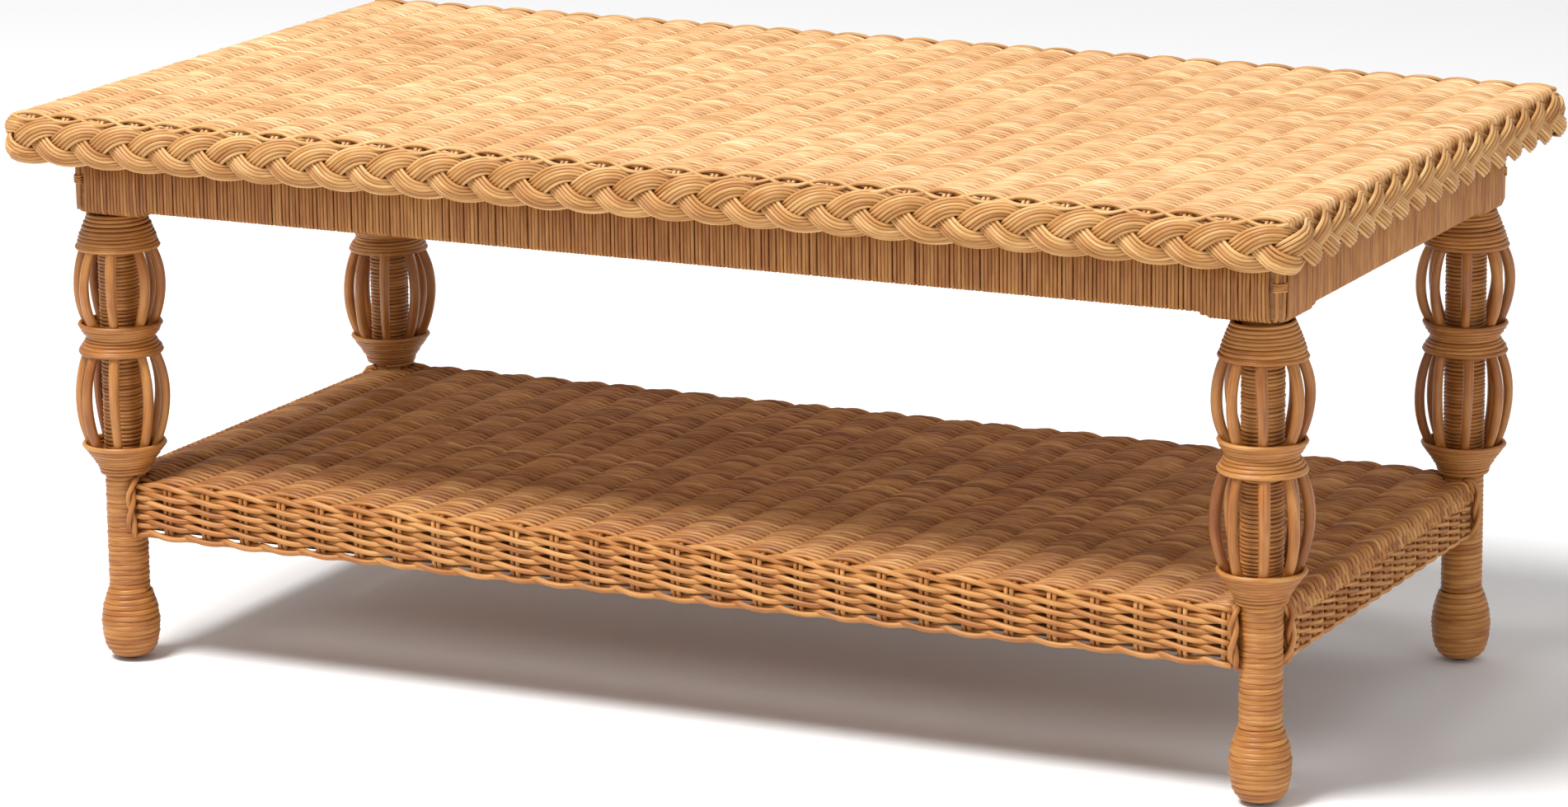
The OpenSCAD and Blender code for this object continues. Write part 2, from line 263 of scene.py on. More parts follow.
paint_nodes(wood_and_shade_along_x, ["front_top", "back_top", "front_apron", "back_apron", "bearers"])
paint_nodes(wood_and_shade_along_x, ["front_shelf_rail", "back_shelf_rail", "corner_blocks", "dowels"])
paint_nodes(wood_and_shade_along_y, ["left_top", "right_top", "left_apron", "right_apron"])
paint_nodes(wood_and_shade_along_y, ["left_shelf_rail", "right_shelf_rail"])
paint_nodes(pole_cane, ["_pole"])
paint_nodes(steel, ["screws"])
paint_nodes(plastic, ["glides"])

# %% [markdown]
# ## Laying reeds
# A reed is a long round rod, so it is made as a curve with a round bevel, one spline to a
# reed, and then turned into a mesh. Many reeds that lie together are one piece. A curve is
# right here because a weave is easy to say as paths and hard to push about as faces.

# %% A helper that lays reeds
chance = np.random.default_rng(11)


def note_reeds(mesh, paths, tones, thick):
    """Gives each point of the mesh its reed's tone and its place along and around the reed."""
    sides = len(mesh.vertices) // sum(len(path) for path in paths)
    around = np.arange(sides) * 2 * np.pi / sides
    all_tones = []
    all_fibres = []
    for path, tone in zip(paths, tones):
        steps = np.linalg.norm(np.diff(path, axis=0), axis=1)
        along = np.concatenate([[0], np.cumsum(steps)]) + chance.random() * 9
        shift = chance.random() * 3
        fibre = np.zeros((len(path), sides, 3))
        fibre[:, :, 0] = along[:, None]
        fibre[:, :, 1] = np.cos(around) * thick / 2 + shift
        fibre[:, :, 2] = np.sin(around) * thick / 2 + shift
        all_fibres.append(fibre.reshape(-1, 3))
        all_tones.append(np.repeat(np.broadcast_to(tone, len(path)), sides))
    mesh.attributes.new("tone", "FLOAT", "POINT").data.foreach_set("value", np.concatenate(all_tones))
    mesh.attributes.new("fibre", "FLOAT_VECTOR", "POINT").data.foreach_set(
        "vector", np.concatenate(all_fibres).ravel())
    return sides

# %% [markdown]
# Most reeds are round. Where reed is wound tight it is pressed a little flat, so an oval can be
# swept along the path in place of the round bevel. The curve's ends are left open until it is
# a mesh and then filled, so the points stay in the order in which the attributes are written.

# %% Round and oval reeds
def flat_section(thick, broad):
    """An oval to sweep along a path: thick away from what the reed is wound on, broad along it."""
    bpy.ops.object.select_all(action="DESELECT")
    bpy.ops.curve.primitive_bezier_circle_add(radius=1)
    section = bpy.context.object
    section.data.resolution_u = 2
    section.scale = (thick / 2, broad / 2, 1)
    bpy.ops.object.transform_apply(location=False, rotation=False, scale=True)
    return section


def lay_reeds(name, paths, thick, closed=False, tones=None, swells=None, smooth=1, broad=None):
    """One piece of many reeds, each swept along its path. With broad the reed is oval, not round."""
    section = flat_section(thick, broad) if broad else None
    bpy.ops.object.select_all(action="DESELECT")
    bpy.ops.curve.primitive_nurbs_path_add()
    piece = bpy.context.object
    piece.name = name
    curve = piece.data
    curve.splines.clear()
    for number, path in enumerate(paths):
        spline = curve.splines.new("POLY")
        spline.points.add(len(path) - 1)
        spline.points.foreach_set("co", np.column_stack([path, np.ones(len(path))]).ravel())
        if swells is not None:
            spline.points.foreach_set("radius", np.broadcast_to(swells[number], len(path)))
        spline.use_cyclic_u = closed
    curve.bevel_depth = thick / 2
    curve.bevel_resolution = smooth
    if section:
        curve.twist_mode = "Z_UP"
        curve.bevel_mode = "OBJECT"
        curve.bevel_object = section
    bpy.ops.object.convert(target="MESH")
    piece = bpy.context.object
    if section:
        bpy.data.objects.remove(section)
    if tones is None:
        tones = 0.5 + 0.36 * (chance.random(len(paths)) * 2 - 1)
    sides = note_reeds(piece.data, paths, tones, thick)
    bpy.ops.object.mode_set(mode="EDIT")
    bpy.ops.mesh.select_all(action="SELECT")
    bpy.ops.mesh.fill_holes(sides=sides)
    bpy.ops.object.mode_set(mode="OBJECT")
    bpy.ops.object.shade_smooth()
    return piece

# %% [markdown]
# Every piece that is made here belongs to the table's one body. The plain solid it stands for
# is hidden, but still gives the table its weight and its outline.

# %% A helper that dresses a piece
def dress(piece, material, slot, *nodes):
    """Gives a piece its finish, and names and hides the plain parts of the frame it stands for. slot is not
    used.
    """
    piece.data.materials.clear()
    piece.data.materials.append(material)
    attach(piece, "root")
    if nodes:
        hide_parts(*nodes)
    faces = sum(len(face.vertices) - 2 for face in piece.data.polygons)
    print(piece.name, "has", faces, "triangles")


# %% [markdown]
# ## The woven top
# The top is plain weave. Pairs of stakes run across the table, and a single reed goes over
# one pair and under the next, its neighbour the other way. Over each pair the reeds rise in
# a low ridge. Each row is a wave: its height is a cosine whose half period is the distance
# between two pairs of stakes, and the next row is half a period behind.

# %% Sizes of the top's weave
top_low, top_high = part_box("top_mat")
REED = 0.0035
STAKE_STEP = 0.031
TOP_WAVE = 0.0027
top_stakes = (np.arange(34) - 16.5) * STAKE_STEP
top_rows = np.linspace(top_low[1] + 0.0018, top_high[1] - 0.0018, 157)
top_middle = top_high[2] - REED / 2 - TOP_WAVE
print("rows", round(1000 * (top_rows[1] - top_rows[0]), 2), "mm apart")


def spliced_tones(values, length):
    """A row is made of several lengths of reed, so its tone changes where one follows another."""
    tones = np.zeros(len(values))
    start = values[0] - chance.random() * length
    while start < values[-1]:
        reach = length * (0.5 + chance.random())
        tones[(values >= start) & (values < start + reach)] = chance.random()
        start += reach
    return tones


def wave(x, first, step):
    """1 over the first stake, -1 over the next, with a broad crest as a stiff reed has."""
    c = np.cos(np.pi * (x - first) / step)
    return c * (1.22 - 0.22 * c * c)


# %% [markdown]
# The rows come next, as paths of a few points to each crossing. No two crossings are quite
# alike, so each point is moved a little. At both ends a row turns down behind the plait. A
# reed looks fuller where it bends over the stakes, so it swells there by a few parts in a
# hundred.

# %% Rows of the top
inner = np.arange(top_stakes[0] - STAKE_STEP / 3, top_stakes[-1] + STAKE_STEP * 0.34, STAKE_STEP / 6)
drop = np.array([[0.0018, -0.0004], [0.0032, -0.002], [0.0038, -0.0048], [0.0038, -0.012], [0.0038, -0.02]])
top_paths = []
top_tones = []
top_swells = []
for number, y in enumerate(top_rows):
    side = 1 if number % 2 else -1
    lift = wave(inner, top_stakes[0], STAKE_STEP) * side
    height = top_middle + lift * TOP_WAVE * (1 + 0.08 * chance.standard_normal(len(inner)))
    sway = y + 0.0002 * chance.standard_normal(len(inner))
    row = np.column_stack([inner, sway, height])
    right = [[row[-1, 0] + dx, row[-1, 1], row[-1, 2] + dz] for dx, dz in drop]
    left = [[row[0, 0] - dx, row[0, 1], row[0, 2] + dz] for dx, dz in drop[::-1]]
    path = np.concatenate([left, row, right])
    top_paths.append(path)
    top_tones.append(spliced_tones(path[:, 0], 0.5))
    top_swells.append(0.97 + 0.08 * np.abs(wave(path[:, 0], top_stakes[0], STAKE_STEP)) ** 2)

for part, label in enumerate(["front", "middle", "back"]):
    rows = slice(part * 53, (part + 1) * 53)
    piece = lay_reeds("top_rows_" + label, top_paths[rows], REED, tones=top_tones[rows],
                      swells=top_swells[rows])
    dress(piece, honey, "top_reed", "top_mat")

# %% [markdown]
# The stakes turn down at the front and the back, behind the plait. Outside the last row two
# thicker reeds twine along the edge, one in front of a pair of stakes while the other is
# behind it, so small arches with dark gaps under them line the edge.

# %% Stakes and edge reeds of the top
edge_y = top_high[1]
turned = np.array([[0.0022, 0], [0.0036, -0.0008], [0.0044, -0.0026], [0.0046, -0.006], [0.0046, -0.016]])
stake_paths = []
for x in top_stakes:
    for beside in (-0.0018, 0.0018):
        flat = [[x + beside, y, top_middle] for y in np.linspace(-edge_y, edge_y, 24)]
        front = [[x + beside, -edge_y - dy, top_middle + dz] for dy, dz in turned[::-1]]
        back = [[x + beside, edge_y + dy, top_middle + dz] for dy, dz in turned]
        stake_paths.append(np.array(front + flat + back))
piece = lay_reeds("top_stakes", stake_paths, 0.0030)
dress(piece, honey, "top_reed", "top_mat")

edge_paths = []
edge_x = np.arange(top_stakes[0] - STAKE_STEP / 2, top_stakes[-1] + STAKE_STEP * 0.51, STAKE_STEP / 8)
for end in (-1, 1):
    for side in (-1, 1):
        swing = side * wave(edge_x, top_stakes[0], STAKE_STEP)
        y = end * (edge_y + 0.0042 - 0.0022 * swing)
        edge_paths.append(np.column_stack([edge_x, y, top_middle + 0.0008 + 0.0028 * swing]))
piece = lay_reeds("top_edge_reeds", edge_paths, 0.0034)
dress(piece, plait_amber, "top_reed", "top_mat")

# %% [markdown]
# ## The plaited edge
# A plait of three strands runs all the way round the top, each strand six reeds side by
# side. A strand's middle swings up and down as a sine, and out and in twice as fast, which
# is just how three strands pass over each other. The reeds of a strand keep beside each
# other, square to its path. The plait is also rounded from top to bottom, so its arcs lean
# in against the table. At a corner it turns about a point a little inside the top.

# %% Path round the top
plait_low, plait_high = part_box("front_plait")
PLAIT_MIDDLE = (plait_low[2] + plait_high[2]) / 2
ROUND = 0.014
INSET = 0.0065
half_x = top_high[0] - INSET
half_y = top_high[1] - INSET
straight_x = 2 * half_x
straight_y = 2 * half_y
bend = math.pi / 2 * ROUND
LOOP = 2 * straight_x + 2 * straight_y + 4 * bend
print("the plait is", round(LOOP, 3), "m round")


def round_edge(s):
    """The place and the outward direction at distance s round the top, going right along the front."""
    s = s % LOOP
    turns = [(straight_x, (-half_x, -half_y), 0), (straight_y, (half_x, -half_y), 90),
             (straight_x, (half_x, half_y), 180), (straight_y, (-half_x, half_y), 270)]
    for length, start, heading in turns:
        angle = math.radians(heading)
        forward = np.array([math.cos(angle), math.sin(angle)])
        outward = np.array([math.sin(angle), -math.cos(angle)])
        if s < length:
            return np.array(start) + forward * s, outward
        s -= length
        if s < bend:
            swing = angle + s / ROUND
            corner = np.array(start) + forward * length
            return corner, np.array([math.sin(swing), -math.cos(swing)])
        s -= bend
    return np.array([-half_x, -half_y]), np.array([0.0, -1.0])


# %% [markdown]
# The strands could be drawn by hand as loops, but a formula keeps all thirty-one twists
# alike and closes the ring exactly. Each reed of a strand runs its own path, a little above
# or below the strand's middle.

# %% Strands of the plait
TWISTS = 31
STEPS = 24
PLAIT_REED = 0.00295
REED_GAP = 0.0027
SWING_UP = 0.0131
SWING_OUT = 0.0038
CLIMB = 0.0122
ROUNDED = 0.0208
LEAN_IN = 0.0082
strand_paths = []
strand_tones = []
for strand in range(3):
    for place in range(6):
        beside = (place - 2.5) * REED_GAP
        path = []
        for i in range(TWISTS * STEPS):
            s = i * LOOP / (TWISTS * STEPS)
            theta = 2 * math.pi * (i / STEPS + strand / 3)
            climb = CLIMB * math.cos(theta) * 2 * math.pi * TWISTS / LOOP
            size = math.hypot(climb, 1)
            ground, outward = round_edge(s - beside * climb / size)
            lean = (SWING_UP * math.sin(theta) + beside / size) / ROUNDED
            z = PLAIT_MIDDLE + ROUNDED * math.sin(lean)
            crown = 0.0018 * math.cos(beside / 0.0065 * 1.5)
            out = INSET + 0.0016 + LEAN_IN * math.cos(lean) + SWING_OUT * math.sin(2 * theta) + crown
            path.append([*(ground + outward * out), z])
        strand_paths.append(np.array(path))
        strand_tones.append(spliced_tones(np.arange(len(path)) / STEPS, 6))
piece = lay_reeds("plaited_edge", strand_paths, PLAIT_REED, closed=True, tones=strand_tones)
dress(piece, plait_amber, "plait_reed", "front_plait", "back_plait", "left_plait", "right_plait")

# %% [markdown]
# ## The wound apron
# One long reed is wound round each rail, turn against turn, from leg to leg. It goes down the
# face, under the rail and up behind it, and steps along by its own width behind the rail,
# where the slant does not show. The turns are never quite even, and each has its own shade.

# %% Turns of the apron
WIND = 0.003
TURN_PITCH = 0.00305


def wound_bar(start, end, face, behind, low, high, place):
    """Turns round a bar that runs along one side. place turns (along, out, up) into a point."""
    count = int((end - start) / TURN_PITCH)
    pitch = (end - start) / count
    outer = face - WIND / 2
    inner = behind + WIND / 2
    bottom = low + WIND / 2
    top = high - WIND / 2
    nib = 0.0022
    outline = [(outer, top - nib), (outer, (top + bottom) / 2), (outer, bottom + nib),
               (outer - nib * 0.3, bottom + nib * 0.3), (outer - nib, bottom), (inner + nib, bottom),
               (inner + nib * 0.3, bottom + nib * 0.3), (inner, bottom + nib), (inner, top - nib),
               (inner + nib, top), (outer - nib, top)]
    steps = [0, 0, 0, 0, 0, 0, 0, 0.1, 0.9, 1, 1]
    path = []
    tones = []
    for turn_number in range(count):
        tone = 0.28 + 0.44 * chance.random()
        lean = 0.0003 * chance.standard_normal()
        bulge = 0.0003 * abs(chance.standard_normal())
        for (out, up), step in zip(outline, steps):
            along = start + (turn_number + 0.5 + step) * pitch + (lean if step == 0 else 0)
            path.append(place(along, out + bulge * (out == outer), up))
            tones.append(tone)
    return np.array(path), np.array(tones)

# %% [markdown]
# The four sides differ only in length and in the way they face. So a side is described once,
# by distances along, out and up, and a small helper turns it to the front, back, left or right.

# %% Wind the four sides
apron_low, apron_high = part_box("apron_windings")
rail_low, rail_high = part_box("front_apron_rail")
rail_deep = rail_high[1] - rail_low[1] + 2 * WIND
side_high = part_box("right_apron_rail")[1]


def facing(side):
    """Turns (along, out, up) into a point, for a piece on one side of the table."""
    if side == "front":
        return lambda along, out, up: (along, -out, up)
    if side == "back":
        return lambda along, out, up: (-along, out, up)
    if side == "right":
        return lambda along, out, up: (out, along, up)
    return lambda along, out, up: (-out, -along, up)


for side in ("front", "back", "left", "right"):
    long_side = side in ("front", "back")
    reach = rail_high[0] if long_side else side_high[1]
    face = apron_high[1] if long_side else apron_high[0]
    path, tones = wound_bar(-reach, reach, face, face - rail_deep, apron_low[2], apron_high[2], facing(side))
    piece = lay_reeds(side + "_apron_winding", [path], WIND, tones=[tones])
    dress(piece, apron_tan, "apron_reed", "apron_windings")

# %% [markdown]
# Beside each leg the winding covers a corner block and hangs a little lower than the rest.
# Here the reeds are single lengths, down the face, round the lower edge and in under the
# block. On the corner itself stand two stouter reeds, and a small tie of finer reed holds
# them together half way up.

# %% Where the corners are
block_low, block_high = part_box("corner_windings")
pole_low, pole_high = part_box("front_right_pole")
leg_x = (pole_low[0] + pole_high[0]) / 2
leg_y = -(pole_low[1] + pole_high[1]) / 2
corner_out = block_high[0] - leg_x
corner_back = 0.040
LEGS = [("front_left", -1, -1), ("front_right", 1, -1), ("back_left", -1, 1), ("back_right", 1, 1)]

# %% [markdown]
# A reed could be bent round the block's edge with a bevel, but four or five points along its
# path give the same soft bend. The reeds nearest the corner bow outwards a little.

# %% Single reeds of a corner
def corner_reeds(sx, sy):
    """Single reeds down both faces of one corner block, and in under it."""
    top = block_high[2] - WIND / 2
    low = block_low[2] + WIND / 2
    half_way = (top + low) / 2
    out = corner_out - WIND / 2
    paths = []
    for k in range(18):
        along = -corner_back + 0.0015 + k * 0.0030
        jog = 0.0002 * chance.standard_normal()
        bow = 0.0007 * max(0, k - 13) / 4
        fall = low + (0.0016 if k < 2 else 0)
        behind_pole = abs(along) >= 0.017
        end = -corner_back if behind_pole else 0.017
        face_path = [(along + jog, out, top), (along - jog - bow, out + 0.0002, half_way),
                     (along, out, fall + 0.003), (along, out - 0.0009, fall + 0.0009),
                     (along, out - 0.003, fall), (along, end + 0.002, fall)]
        if behind_pole:
            face_path += [(along, end - 0.0008, fall + 0.0008), (along, end - 0.0015, fall + 0.003),
                          (along, end - 0.0015, top)]
            paths.append([(-corner_back - 0.0015, along, low + 0.003), (-corner_back - 0.0015, along, top)])
        paths.append(face_path)
        paths.append([(out, along + jog, top), (out + 0.0002, along - jog - bow, half_way),
                      (out, along, fall + 0.003), (out - 0.0009, along, fall + 0.0009),
                      (out - 0.0035, along, fall + 0.0004), (out - 0.008, along, fall + 0.002)])
    return [np.array([(sx * (leg_x + x), sy * (leg_y + y), z) for x, y, z in path]) for path in paths]

# %% [markdown]
# The posts stand side by side on the corner's slant. The tie's turns are flat rings round both,
# set on the slant as well, each a little out of level.

# %% Posts and tie of a corner
def corner_posts(sx, sy):
    """The two stout reeds that stand on the corner itself, and turn in under it."""
    top = block_high[2] - WIND / 2
    low = block_low[2] + WIND / 2
    paths = []
    for near, far in ((0.0190, 0.0222), (0.0222, 0.0190)):
        bowed = 0.0004 if near > far else -0.0004
        post = [(near, far, top), (near + bowed, far - bowed, (top + low) / 2), (near, far, low + 0.0045),
                (near - 0.0015, far - 0.0015, low + 0.0014), (near - 0.005, far - 0.005, low + 0.0004)]
        paths.append(np.array([(sx * (leg_x + x), sy * (leg_y + y), z) for x, y, z in post]))
    return paths


def corner_tie(sx, sy):
    """Turns of fine reed round the two posts, half way up."""
    middle = (block_high[2] + block_low[2]) / 2 + 0.002
    loops = []
    for k in range(4):
        turn_points = []
        for angle in np.linspace(0, 2 * math.pi, 16, endpoint=False):
            along = 0.0050 * math.cos(angle)
            deep = 0.0027 * math.sin(angle)
            x = 0.0206 + (along + deep) * 0.7071
            y = 0.0206 + (-along + deep) * 0.7071
            z = middle + (k - 1.5) * 0.0018 + 0.0004 * math.sin(angle + k)
            turn_points.append((sx * (leg_x + x), sy * (leg_y + y), z))
        loops.append(np.array(turn_points))
    return loops

# %% [markdown]
# All three are made once for one corner and mirrored to the other three by the signs of X and
# Y. Only the path is mirrored, before the reed is swept, so no face is turned inside out.

# %% Lay the corners
for name, sx, sy in LEGS:
    piece = lay_reeds(name + "_corner_winding", corner_reeds(sx, sy), WIND)
    dress(piece, apron_tan, "apron_reed", "corner_windings")
    piece = lay_reeds(name + "_corner_posts", corner_posts(sx, sy), 0.0036, tones=[0.6, 0.7])
    dress(piece, apron_tan, "apron_reed", "corner_windings")
    piece = lay_reeds(name + "_corner_tie", corner_tie(sx, sy), 0.0018, closed=True,
                      tones=[0.9, 0.8, 0.95, 0.85])
    dress(piece, apron_tan, "apron_reed", "corner_windings")

# %% [markdown]
# ## The wound legs
# Each leg is a pole with reed coiled round it from the foot to the apron. A coil is a spiral
# whose distance from the pole follows an outline: bulging at the foot, straight along the
# leg, flaring at the cups. The weaver builds the foot and the cups in the same way, turn on
# turn, so one helper makes them all from their outlines.

# %% A helper that coils reed round a leg
TURN_STEPS = 24
LEG_RADIUS = 0.0162
STRAIGHT_RADIUS = 0.0149
CORE_RADIUS = 0.0147
RIM_RADIUS = 0.0316


def coil(axis, outline, pitch, uneven=0.12, start=0.0):
    """A spiral round axis that follows outline, a list of (distance from the axis, height)."""
    outline = np.array(outline)
    lengths = np.concatenate([[0], np.cumsum(np.linalg.norm(np.diff(outline, axis=0), axis=1))])
    turns = max(2, round(lengths[-1] / pitch))
    widths = 1 + uneven * chance.standard_normal(turns)
    edges = np.concatenate([[0], np.cumsum(widths)]) / np.sum(widths)
    amount = np.arange(turns * TURN_STEPS + 1) / TURN_STEPS
    done = np.interp(amount, np.arange(turns + 1), edges) * lengths[-1]
    radius = np.interp(done, lengths, outline[:, 0])
    height = np.interp(done, lengths, outline[:, 1])
    angle = 2 * np.pi * amount + start
    radius = radius + 0.00025 * np.sin(2 * angle + 7 * start) * np.sin(angle * 0.37)
    path = np.column_stack([axis[0] + radius * np.cos(angle), axis[1] + radius * np.sin(angle), height])
    tones = 0.3 + 0.4 * chance.random(turns + 1)[amount.astype(int)]
    return path, tones


def smooth_outline(points, count=24):
    """The same outline with soft bends, as reed takes them."""
    points = np.array(points)
    steps = np.concatenate([[0], np.cumsum(np.linalg.norm(np.diff(points, axis=0), axis=1))])
    even = np.linspace(0, steps[-1], count)
    line = np.column_stack([np.interp(even, steps, points[:, 0]), np.interp(even, steps, points[:, 1])])
    line[1:-1] = (line[:-2] + 2 * line[1:-1] + line[2:]) / 4
    return line


def leg_axis(name):
    low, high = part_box(name + "_pole")
    return (low[0] + high[0]) / 2, (low[1] + high[1]) / 2


# %% [markdown]
# The four legs are alike, so the heights of the front right one serve for all. They are read
# from the frame, so the coils stay on their cups if the frame's sizes change.

# %% Heights of a leg's parts
cup_low, cup_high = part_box("front_right_lower_cup")
waist_low, waist_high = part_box("front_right_waist_cup")
collar_low, collar_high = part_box("front_right_collar")
rim = (cup_high[0] - cup_low[0]) / 2
shelf_top = cup_low[2]
cup_rim = cup_high[2]
waist_bottom = waist_low[2]
waist_top = waist_high[2]
collar_bottom = collar_low[2]
collar_top = collar_high[2]
waist_z = (waist_bottom + waist_top) / 2
print("cup rim", cup_rim, "waist", waist_z, "collar", collar_bottom, "rim radius", rim)

# %% [markdown]
# The foot swells like a drop. Its outline gives the distance from the axis at each height,
# and the coil follows it. On the straight of the leg the reed is a little flattened, as it
# is when it is wound tight. Inside the cages a finer coil goes on up the pole.

# %% Feet and straight coils
FOOT = [(0.0088, 0.0046), (0.0130, 0.0052), (0.0160, 0.0068), (0.0186, 0.0112), (0.0202, 0.0165),
        (0.0213, 0.0240), (0.0217, 0.0320), (0.0206, 0.0410), (0.0184, 0.0490), (0.0154, 0.0568)]
for number, (name, sx, sy) in enumerate(LEGS):
    axis = leg_axis(name)
    path, tones = coil(axis, smooth_outline(FOOT), 0.0039, 0.1, number)
    piece = lay_reeds(name + "_wound_foot", [path], 0.0036, tones=[tones], broad=0.0050)
    dress(piece, leg_brown, "leg_reed", name + "_foot")
    straight_line = [(STRAIGHT_RADIUS, 0.0575), (STRAIGHT_RADIUS, shelf_top)]
    core_line = [(CORE_RADIUS, shelf_top), (CORE_RADIUS, collar_top)]
    straight, straight_tones = coil(axis, straight_line, 0.0038, 0.08, number)
    core, core_tones = coil(axis, core_line, 0.0030, 0.12, number)
    piece = lay_reeds(name + "_straight_coil", [straight], 0.0028, tones=[straight_tones], broad=0.0047)
    dress(piece, leg_brown, "leg_reed", "pole_windings")
    piece = lay_reeds(name + "_core_coil", [core], 0.0031, tones=[core_tones])
    dress(piece, leg_brown, "leg_reed", "pole_windings")

# %% [markdown]
# ## Cups, waists and collars
# A cup opens upwards above the shelf, a collar opens downwards under the apron, and between
# the two cages sits a waist, which is two cups base to base. Each has a floor of a few turns
# close to the pole, where the ribs' ends are pushed in, and a stouter turn at its rim.

# %% Cup, waist and collar
CUP = [(0.0178, shelf_top + 0.0014), (0.0205, cup_rim - 0.0170), (0.0258, cup_rim - 0.0090),
       (0.0296, cup_rim - 0.0040), (RIM_RADIUS, cup_rim - 0.0008)]
WAIST = [(RIM_RADIUS, waist_bottom + 0.0008), (0.0308, waist_bottom + 0.0034),
         (0.0284, waist_z - 0.0048), (0.0252, waist_z), (0.0284, waist_z + 0.0048),
         (0.0306, waist_top - 0.0034), (RIM_RADIUS, waist_top - 0.0008)]
COLLAR = [(0.0302, collar_bottom + 0.0014), (0.0306, collar_bottom + 0.0040),
          (0.0288, collar_bottom + 0.0098), (0.0262, collar_bottom + 0.0166),
          (0.0239, collar_bottom + 0.0222), (0.0216, collar_top - 0.0016)]


def rim_ring(axis, radius, height, waver):
    """One stout turn at a rim, that wavers up and down a little."""
    angle = np.linspace(0, 2 * np.pi, 32, endpoint=False)
    lift = waver * np.sin(angle + axis[0] * 9) + 0.5 * waver * np.sin(3 * angle + axis[1] * 9)
    x = axis[0] + radius * np.cos(angle)
    y = axis[1] + radius * np.sin(angle)
    return np.column_stack([x, y, height + lift])


for number, (name, sx, sy) in enumerate(LEGS):
    axis = leg_axis(name)
    floors = {"lower_cup": [cup_rim - 0.0075], "waist_cup": [waist_bottom + 0.0075, waist_top - 0.0075],
              "collar": [collar_bottom + 0.0075]}
    rims = {"lower_cup": [cup_rim - 0.0008], "waist_cup": [waist_bottom + 0.0008, waist_top - 0.0008],
            "collar": [collar_bottom + 0.0012]}
    for part, outline in (("lower_cup", CUP), ("waist_cup", WAIST), ("collar", COLLAR)):
        path, tones = coil(axis, smooth_outline(outline, 30), 0.0030, 0.12, number * 2 + 1)
        paths = [path]
        all_tones = [tones]
        for height in floors[part]:
            flat_path, flat_tones = coil(axis, [(0.0172, height), (0.0270, height)], 0.0028, 0.0, number)
            paths.append(flat_path)
            # The floor turns get a tone well below the coils': painted shade in the hollow under the ribs.
            all_tones.append(flat_tones * 0.4)
        coils = lay_reeds(name + "_" + part + "_coils", paths, 0.0035, tones=all_tones)
        dress(coils, leg_brown, "leg_reed", name + "_" + part)
        rings = [rim_ring(axis, RIM_RADIUS, height, 0.0003) for height in rims[part]]
        ring = lay_reeds(name + "_" + part + "_rim", rings, 0.0038, closed=True)
        dress(ring, leg_brown, "leg_reed", name + "_" + part)

# %% [markdown]
# ## The ribs
# Eight canes bow out round the pole in each cage. They are bent by hand over steam, so each
# is a little thicker here and thinner there, bows a little more or less than the next, and
# leans a degree or two. The ends go into the cups' hollows.

# %% Bent ribs
def rib_paths(axis, low, high, count=8):
    """The ribs of one cage, as arcs of a circle from low to high, and how thick each is on its way."""
    paths = []
    swells = []
    rise_half = (high - low) / 2
    bulge = 0.0105
    radius = (rise_half ** 2 + bulge ** 2) / (2 * bulge)
    for k in range(count):
        heading = math.radians((k + 0.5) * 360 / count + 2.0 * chance.standard_normal())
        lean = math.radians(1.6 * chance.standard_normal())
        fullness = 1 + 0.08 * chance.standard_normal()
        t = np.linspace(-1, 1, 17)
        bowed = np.sqrt(radius ** 2 - (t * rise_half) ** 2) - math.sqrt(radius ** 2 - rise_half ** 2)
        out = 0.0231 + bowed * fullness + 0.0004 * np.sin(3 * t + k)
        angle = heading + lean * np.sin(2 * t + k)
        z = (low + high) / 2 + t * rise_half
        paths.append(np.column_stack([axis[0] + out * np.cos(angle), axis[1] + out * np.sin(angle), z]))
        thickness = 0.96 + 0.05 * chance.standard_normal()
        swells.append(thickness + 0.06 * np.sin(2.3 * t + 2 * k) - 0.10 * np.abs(t) ** 3)
    return paths, swells


for name, sx, sy in LEGS:
    axis = leg_axis(name)
    for part in ("lower_ribs", "upper_ribs"):
        low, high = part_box(name + "_" + part)
        paths, swells = rib_paths(axis, low[2], high[2])
        piece = lay_reeds(name + "_bent_" + part, paths, 0.0086, swells=swells, smooth=2)
        dress(piece, cane_gold, "rib_cane", name + "_" + part)

# %% [markdown]
# ## The woven shelf
# The shelf is woven like the top, with stouter reed. Its stakes turn down at the front and
# back and carry the side, so shelf and side hang together over the edge. A profile says where
# that edge runs: flat across the shelf, round the bend, then down the side. The rows that
# meet a leg stop at it, and the others turn down at the shelf's two ends.

# %% Profile of the shelf
shelf_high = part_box("shelf_mat")[1]
side_low_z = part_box("front_shelf_side")[0][2]
side_out_y = -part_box("front_shelf_side")[0][1]
side_out_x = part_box("right_shelf_side")[1][0]
SHELF_REED = 0.0039
SHELF_STEP = 0.0344
SHELF_WAVE = 0.0030
shelf_stakes = 0.0112 + np.arange(-14, 15) * SHELF_STEP
shelf_middle = shelf_high[2] - SHELF_REED / 2 - SHELF_WAVE
side_middle = side_out_y - SHELF_REED / 2 - SHELF_WAVE
SHELF_ROUND = 0.004


def side_profile(middle_out, s):
    """Down the side from where the flat shelf ends: (out, up, out part and up part of the normal)."""
    arc = SHELF_ROUND * math.pi / 2
    centre_out = middle_out - SHELF_ROUND
    if s < 0:
        return centre_out + s, shelf_middle, 0.0, 1.0
    if s < arc:
        a = s / SHELF_ROUND
        out = centre_out + SHELF_ROUND * math.sin(a)
        up = shelf_middle - SHELF_ROUND + SHELF_ROUND * math.cos(a)
        return out, up, math.sin(a), math.cos(a)
    return middle_out, shelf_middle - SHELF_ROUND - (s - arc), 1.0, 0.0


# %% [markdown]
# The rows are made as on the top. Every second row ends a little sooner, so the ends look
# like the teeth of a comb along the shelf's edge.

# %% Rows across the shelf
leg_clear = LEG_RADIUS + 0.0008
shelf_end = side_out_x - 0.0066


